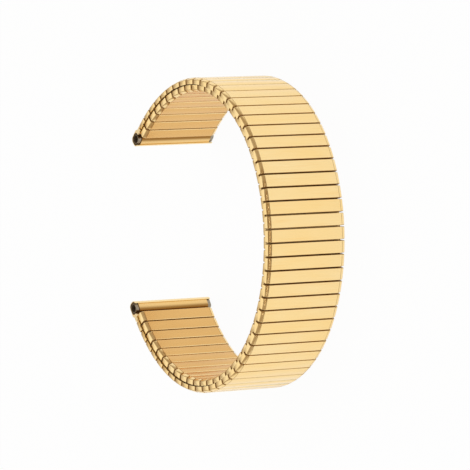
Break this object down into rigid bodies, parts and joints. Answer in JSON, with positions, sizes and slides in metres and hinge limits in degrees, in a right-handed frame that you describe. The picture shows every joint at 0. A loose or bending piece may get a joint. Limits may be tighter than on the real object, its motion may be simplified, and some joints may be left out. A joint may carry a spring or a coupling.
{
  "type": "expansion watch band",
  "caption": "Open C of two staggered rows of hollow gold tone links, joined by U clips over leaf springs, with rolled end covers and telescopic tube ends for spring bars.",
  "frame": {"origin": "middle of the band's outline, at its lower edge", "axes": "+Z over the width of the band, which lies on its edge; +X to the closed side of the C; +Y to end a, the upper end in the picture"},
  "size_m": [0.0536, 0.0636, 0.018],
  "materials": {
    "gold_link": "polished gold tone plating on stainless steel",
    "gold_end": "polished gold tone plating on stainless steel",
    "steel_insert": "plain grey steel",
    "spring_steel": "bright spring steel strip",
    "clip_steel": "flat stamped strip"
  },
  "bodies": {
    "section_1": {"outer_links_1": "gold_link", "inner_links_1": "gold_link", "leaf_springs_1": "spring_steel", "clips_1": "clip_steel"},
    "section_2": {"outer_links_2": "gold_link", "inner_links_2": "gold_link", "leaf_springs_2": "spring_steel", "clips_2": "clip_steel"},
    "section_3": {"outer_links_3": "gold_link", "inner_links_3": "gold_link", "leaf_springs_3": "spring_steel", "clips_3": "clip_steel"},
    "section_4": {"outer_links_4": "gold_link", "inner_links_4": "gold_link", "leaf_springs_4": "spring_steel", "clips_4": "clip_steel"},
    "section_5": {"outer_links_5": "gold_link", "inner_links_5": "gold_link", "leaf_springs_5": "spring_steel", "clips_5": "clip_steel"},
    "section_6": {"outer_links_6": "gold_link", "inner_links_6": "gold_link", "leaf_springs_6": "spring_steel", "clips_6": "clip_steel"},
    "section_7": {"outer_links_7": "gold_link", "inner_links_7": "gold_link", "leaf_springs_7": "spring_steel", "clips_7": "clip_steel"},
    "section_8": {"outer_links_8": "gold_link", "inner_links_8": "gold_link", "leaf_springs_8": "spring_steel", "clips_8": "clip_steel"},
    "section_9": {"outer_links_9": "gold_link", "inner_links_9": "gold_link", "leaf_springs_9": "spring_steel", "clips_9": "clip_steel"},
    "end_a": {"end_cover_a": "gold_end", "end_sleeve_a": "gold_end"},
    "end_b": {"end_cover_b": "gold_end", "end_sleeve_b": "gold_end"},
    "insert_a_top": {"tube_insert_a_top": "steel_insert"},
    "insert_a_bottom": {"tube_insert_a_bottom": "steel_insert"},
    "insert_b_top": {"tube_insert_b_top": "steel_insert"},
    "insert_b_bottom": {"tube_insert_b_bottom": "steel_insert"},
    "clip_pair_1": {"joining_clips_1": "clip_steel"},
    "clip_pair_2": {"joining_clips_2": "clip_steel"},
    "clip_pair_3": {"joining_clips_3": "clip_steel"},
    "clip_pair_4": {"joining_clips_4": "clip_steel"},
    "clip_pair_5": {"joining_clips_5": "clip_steel"},
    "clip_pair_6": {"joining_clips_6": "clip_steel"},
    "clip_pair_7": {"joining_clips_7": "clip_steel"},
    "clip_pair_8": {"joining_clips_8": "clip_steel"},
    "clip_pair_9": {"joining_clips_9": "clip_steel"},
    "clip_pair_10": {"joining_clips_10": "clip_steel"}
  },
  "joints": [
    {"name": "stretch_5", "type": "slide", "parent": "section_5", "child": "clip_pair_5", "axis": [-0.2283, 0.9736, 0], "range_m": [0, 0.00038]},
    {"name": "flex_5", "type": "hinge", "parent": "clip_pair_5", "child": "section_4", "pos_m": [0.02443, 0.00833, 0.009], "axis": [0, 0, -1], "range_deg": [-4, 8]},
    {"name": "stretch_4", "type": "slide", "parent": "section_4", "child": "clip_pair_4", "axis": [-0.6743, 0.7385, 0], "range_m": [0, 0.00038]},
    {"name": "flex_4", "type": "hinge", "parent": "clip_pair_4", "child": "section_3", "pos_m": [0.01695, 0.02221, 0.009], "axis": [0, 0, -1], "range_deg": [-4, 8]},
    {"name": "stretch_3", "type": "slide", "parent": "section_3", "child": "clip_pair_3", "axis": [-0.9757, 0.2191, 0], "range_m": [0, 0.00038]},
    {"name": "flex_3", "type": "hinge", "parent": "clip_pair_3", "child": "section_2", "pos_m": [0.00327, 0.0299, 0.009], "axis": [0, 0, -1], "range_deg": [-4, 8]},
    {"name": "stretch_2", "type": "slide", "parent": "section_2", "child": "clip_pair_2", "axis": [-0.918, -0.3966, 0], "range_m": [0, 0.00038]},
    {"name": "flex_2", "type": "hinge", "parent": "clip_pair_2", "child": "section_1", "pos_m": [-0.01229, 0.028, 0.009], "axis": [0, 0, -1], "range_deg": [-4, 8]},
    {"name": "stretch_6", "type": "slide", "parent": "section_5", "child": "clip_pair_6", "axis": [-0.2304, -0.9731, 0], "range_m": [0, 0.00038], "stiffness_N_per_m": 50, "springref_m": -0.0002},
    {"name": "flex_6", "type": "hinge", "parent": "clip_pair_6", "child": "section_6", "pos_m": [0.02442, -0.00851, 0.009], "axis": [0, 0, 1], "range_deg": [-4, 8]},
    {"name": "stretch_7", "type": "slide", "parent": "section_6", "child": "clip_pair_7", "axis": [-0.6817, -0.7317, 0], "range_m": [0, 0.00038]},
    {"name": "flex_7", "type": "hinge", "parent": "clip_pair_7", "child": "section_7", "pos_m": [0.01685, -0.02233, 0.009], "axis": [0, 0, 1], "range_deg": [-4, 8]},
    {"name": "stretch_8", "type": "slide", "parent": "section_7", "child": "clip_pair_8", "axis": [-0.9767, -0.2147, 0], "range_m": [0, 0.00038]},
    {"name": "flex_8", "type": "hinge", "parent": "clip_pair_8", "child": "section_8", "pos_m": [0.0031, -0.02991, 0.009], "axis": [0, 0, 1], "range_deg": [-4, 8]},
    {"name": "stretch_9", "type": "slide", "parent": "section_8", "child": "clip_pair_9", "axis": [-0.9215, 0.3883, 0], "range_m": [0, 0.00038]},
    {"name": "flex_9", "type": "hinge", "parent": "clip_pair_9", "child": "section_9", "pos_m": [-0.01248, -0.02807, 0.009], "axis": [0, 0, 1], "range_deg": [-4, 8]},
    {"name": "flex_1", "type": "hinge", "parent": "section_1", "child": "clip_pair_1", "pos_m": [-0.02397, 0.019, 0.009], "axis": [0, 0, -1], "range_deg": [-4, 8]},
    {"name": "stretch_1", "type": "slide", "parent": "clip_pair_1", "child": "end_a", "axis": [-0.6407, -0.7678, 0], "range_m": [0, 0.00038]},
    {"name": "flex_10", "type": "hinge", "parent": "section_9", "child": "clip_pair_10", "pos_m": [-0.02407, -0.019, 0.009], "axis": [0, 0, 1], "range_deg": [-4, 8]},
    {"name": "stretch_10", "type": "slide", "parent": "clip_pair_10", "child": "end_b", "axis": [-0.6129, 0.7902, 0], "range_m": [0, 0.00038]},
    {"name": "insert_a_top_slide", "type": "slide", "parent": "end_a", "child": "insert_a_top", "axis": [0, 0, 1], "range_m": [0, 0.0015]},
    {"name": "insert_a_bottom_slide", "type": "slide", "parent": "end_a", "child": "insert_a_bottom", "axis": [0, 0, -1], "range_m": [0, 0.0015]},
    {"name": "insert_b_top_slide", "type": "slide", "parent": "end_b", "child": "insert_b_top", "axis": [0, 0, 1], "range_m": [0, 0.0015]},
    {"name": "insert_b_bottom_slide", "type": "slide", "parent": "end_b", "child": "insert_b_bottom", "axis": [0, 0, -1], "range_m": [0, 0.0015]}
  ],
  "couplings": [
    {"joint": "stretch_5", "follows": "stretch_6", "ratio": 1},
    {"joint": "stretch_4", "follows": "stretch_6", "ratio": 1},
    {"joint": "stretch_3", "follows": "stretch_6", "ratio": 1},
    {"joint": "stretch_2", "follows": "stretch_6", "ratio": 1},
    {"joint": "stretch_7", "follows": "stretch_6", "ratio": 1},
    {"joint": "stretch_8", "follows": "stretch_6", "ratio": 1},
    {"joint": "stretch_9", "follows": "stretch_6", "ratio": 1},
    {"joint": "stretch_1", "follows": "stretch_6", "ratio": 1},
    {"joint": "stretch_10", "follows": "stretch_6", "ratio": 1}
  ]
}
